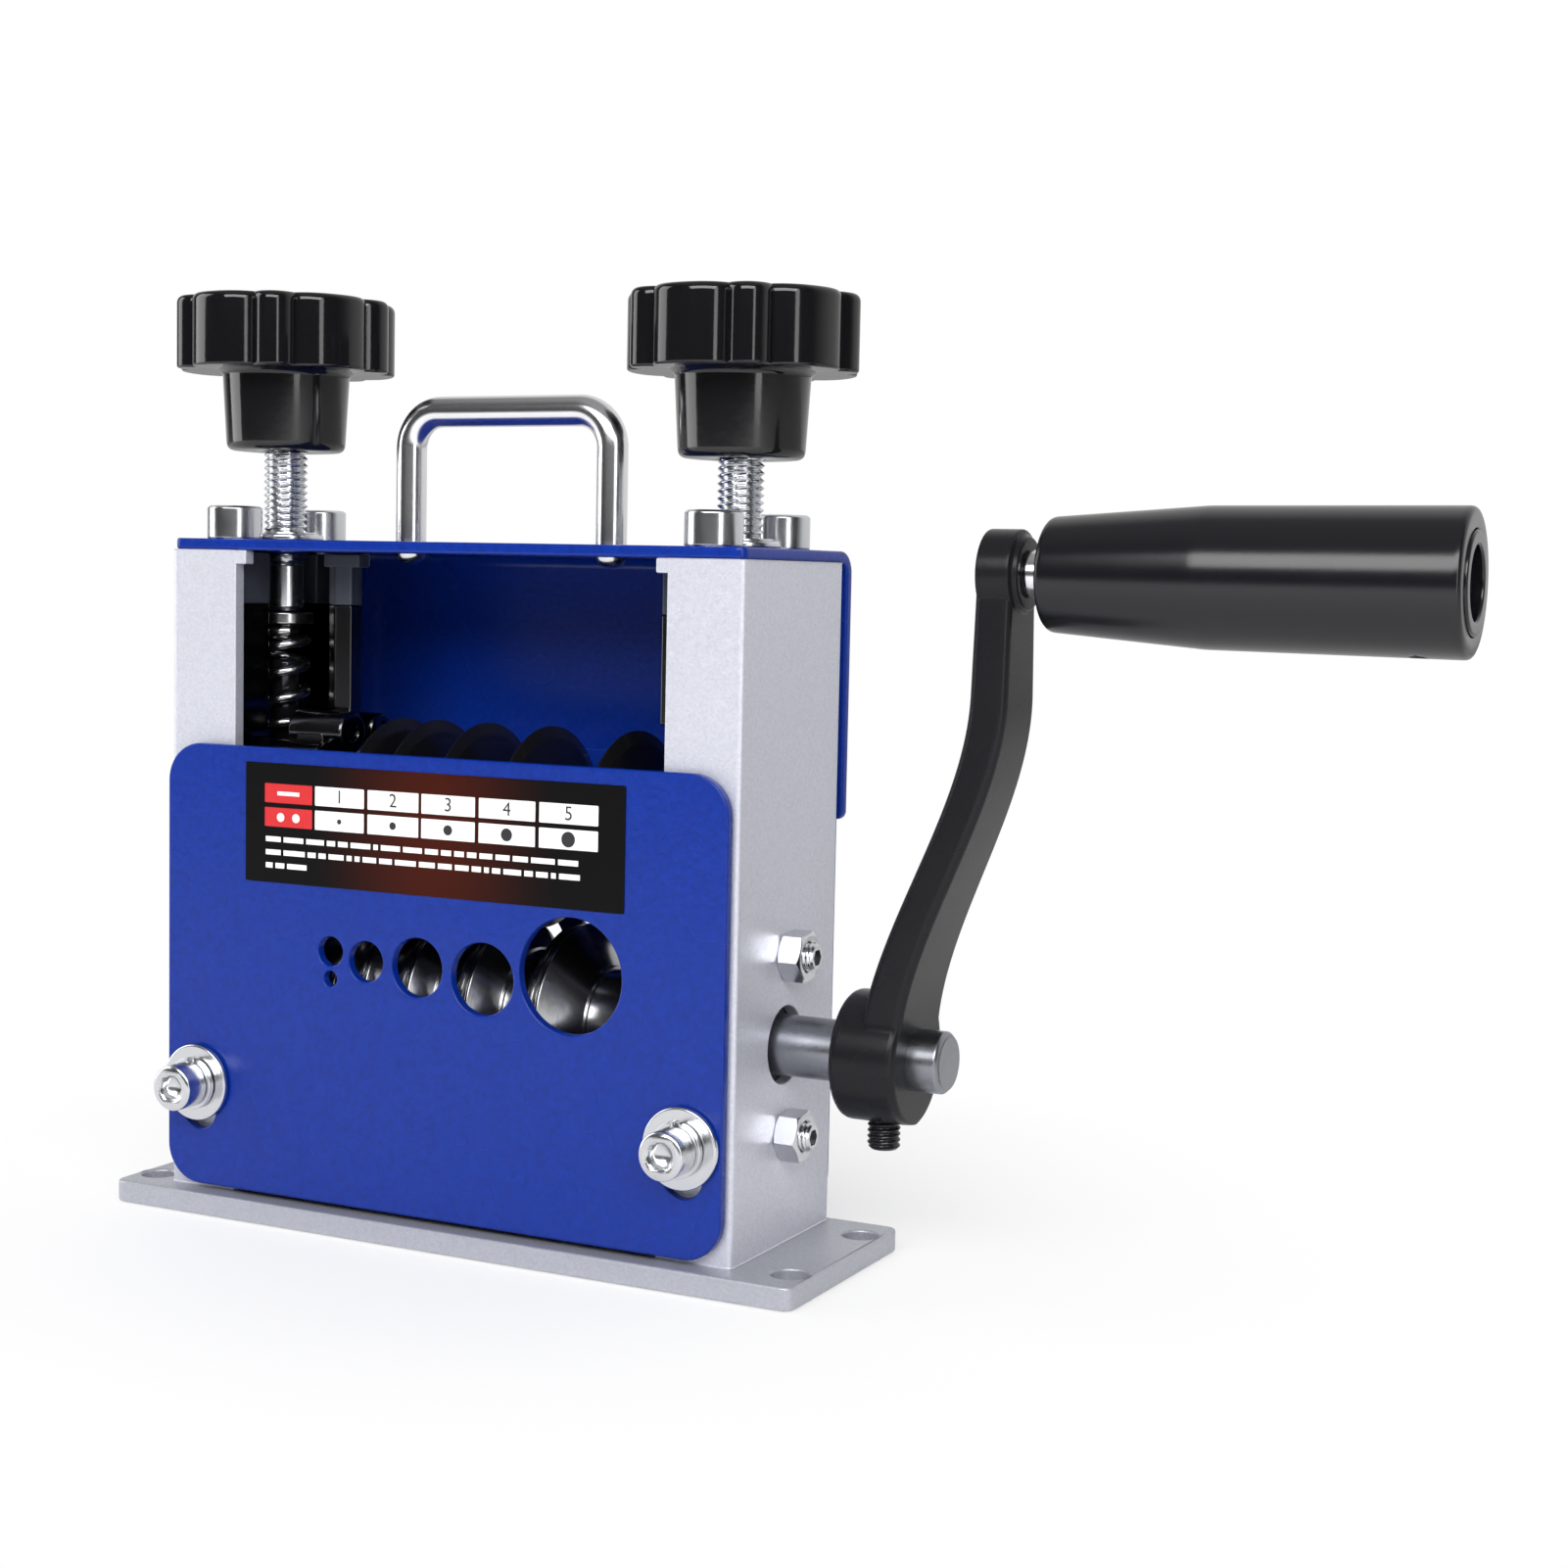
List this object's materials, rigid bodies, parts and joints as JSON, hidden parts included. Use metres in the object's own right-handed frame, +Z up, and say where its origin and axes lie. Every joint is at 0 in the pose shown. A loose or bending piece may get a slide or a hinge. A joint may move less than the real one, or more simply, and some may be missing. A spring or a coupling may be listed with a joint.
{
  "type": "hand crank wire stripper",
  "caption": "Hand crank wire stripper for a bench: a grooved feed roller and sprung round blades behind a guard with feed holes, two pressure knobs and a carry handle.",
  "frame": {"origin": "centre of the base plate's underside", "axes": "+X towards the crank, +Y from the feed holes to the back, +Z up"},
  "size_m": [0.2388, 0.0532, 0.1672],
  "materials": {
    "silver_paint": "fine silver coat",
    "blue_paint": "satin blue coat",
    "zinc": "bright zinc",
    "polished_steel": "polished",
    "black_steel": "black oxide",
    "black_plastic": "gloss black",
    "black_casting": "semi-gloss black"
  },
  "bodies": {
    "frame": {"base_plate": "silver_paint", "left_pillar": "silver_paint", "right_pillar": "silver_paint", "top_cover": "blue_paint", "rear_guard": "blue_paint", "carry_handle": "polished_steel", "left_front_cover_screw": "zinc", "left_rear_cover_screw": "zinc", "right_front_cover_screw": "zinc", "right_rear_cover_screw": "zinc", "left_handle_screw": "zinc", "right_handle_screw": "zinc", "left_rod_washer": "zinc", "right_rod_washer": "zinc", "left_lower_stud": "zinc", "left_upper_stud": "zinc", "right_lower_stud": "zinc", "right_upper_stud": "zinc", "left_lower_nut": "zinc", "left_upper_nut": "zinc", "right_lower_nut": "zinc", "right_upper_nut": "zinc", "left_guard_screw": "zinc", "right_guard_screw": "zinc", "left_guard_washer": "zinc", "right_guard_washer": "zinc", "left_rear_screw": "zinc", "right_rear_screw": "zinc", "left_nut_block": "black_steel", "left_guide_frame": "black_steel", "left_lower_bearing": "black_steel", "right_nut_block": "black_steel", "right_guide_frame": "black_steel", "right_lower_bearing": "black_steel"},
    "lifting_guard": {"front_guard": "blue_paint"},
    "crank": {"feed_shaft": "zinc", "feed_roller": "black_steel", "crank_arm": "black_casting", "crank_set_screw": "black_steel", "grip_spacer": "zinc", "grip_spindle": "zinc"},
    "turning_grip": {"crank_grip": "black_plastic", "grip_end_cap": "black_plastic"},
    "pressure_pads": {"left_thrust_pad": "black_steel", "right_thrust_pad": "black_steel", "left_spring": "black_steel", "right_spring": "black_steel"},
    "left_adjuster": {"left_knob": "black_plastic", "left_threaded_rod": "zinc"},
    "right_adjuster": {"right_knob": "black_plastic", "right_threaded_rod": "zinc"},
    "blade_carriage": {"left_upper_bearing": "black_steel", "right_upper_bearing": "black_steel"},
    "blade_spindle": {"blade_shaft": "black_steel", "blade_lock_nut": "black_steel", "blade_1": "black_steel", "blade_2": "black_steel", "blade_3": "black_steel", "blade_4": "black_steel", "blade_5": "black_steel"}
  },
  "joints": [
    {"name": "guard_lift", "type": "slide", "parent": "frame", "child": "lifting_guard", "axis": [0, 0, 1], "range_m": [0, 0.005]},
    {"name": "crank_turn", "type": "hinge", "parent": "frame", "child": "crank", "pos_m": [0, 0.002, 0.0386], "axis": [1, 0, 0], "continuous": true},
    {"name": "grip_turn", "type": "hinge", "parent": "crank", "child": "turning_grip", "pos_m": [0.135, 0.002, 0.1196], "axis": [1, 0, 0], "continuous": true},
    {"name": "pad_travel", "type": "slide", "parent": "frame", "child": "pressure_pads", "axis": [0, 0, 1], "range_m": [0, 0.003]},
    {"name": "left_knob_turn", "type": "hinge", "parent": "pressure_pads", "child": "left_adjuster", "pos_m": [-0.0497, 0.002, 0.14], "axis": [0, 0, 1], "range_deg": [0, 864]},
    {"name": "right_knob_turn", "type": "hinge", "parent": "pressure_pads", "child": "right_adjuster", "pos_m": [0.0457, 0.002, 0.14], "axis": [0, 0, 1], "range_deg": [0, 864]},
    {"name": "blade_lift", "type": "slide", "parent": "pressure_pads", "child": "blade_carriage", "axis": [0, 0, 1], "range_m": [0, 0.002], "stiffness_N_per_m": 6000, "springref_m": -0.004, "deforming": ["left_spring", "right_spring"]},
    {"name": "blade_turn", "type": "hinge", "parent": "blade_carriage", "child": "blade_spindle", "pos_m": [0, 0.002, 0.073], "axis": [1, 0, 0], "continuous": true}
  ],
  "couplings": [
    {"joint": "left_knob_turn", "follows": "pad_travel", "rad_per_m": 5026.5},
    {"joint": "right_knob_turn", "follows": "pad_travel", "rad_per_m": 5026.5}
  ]
}
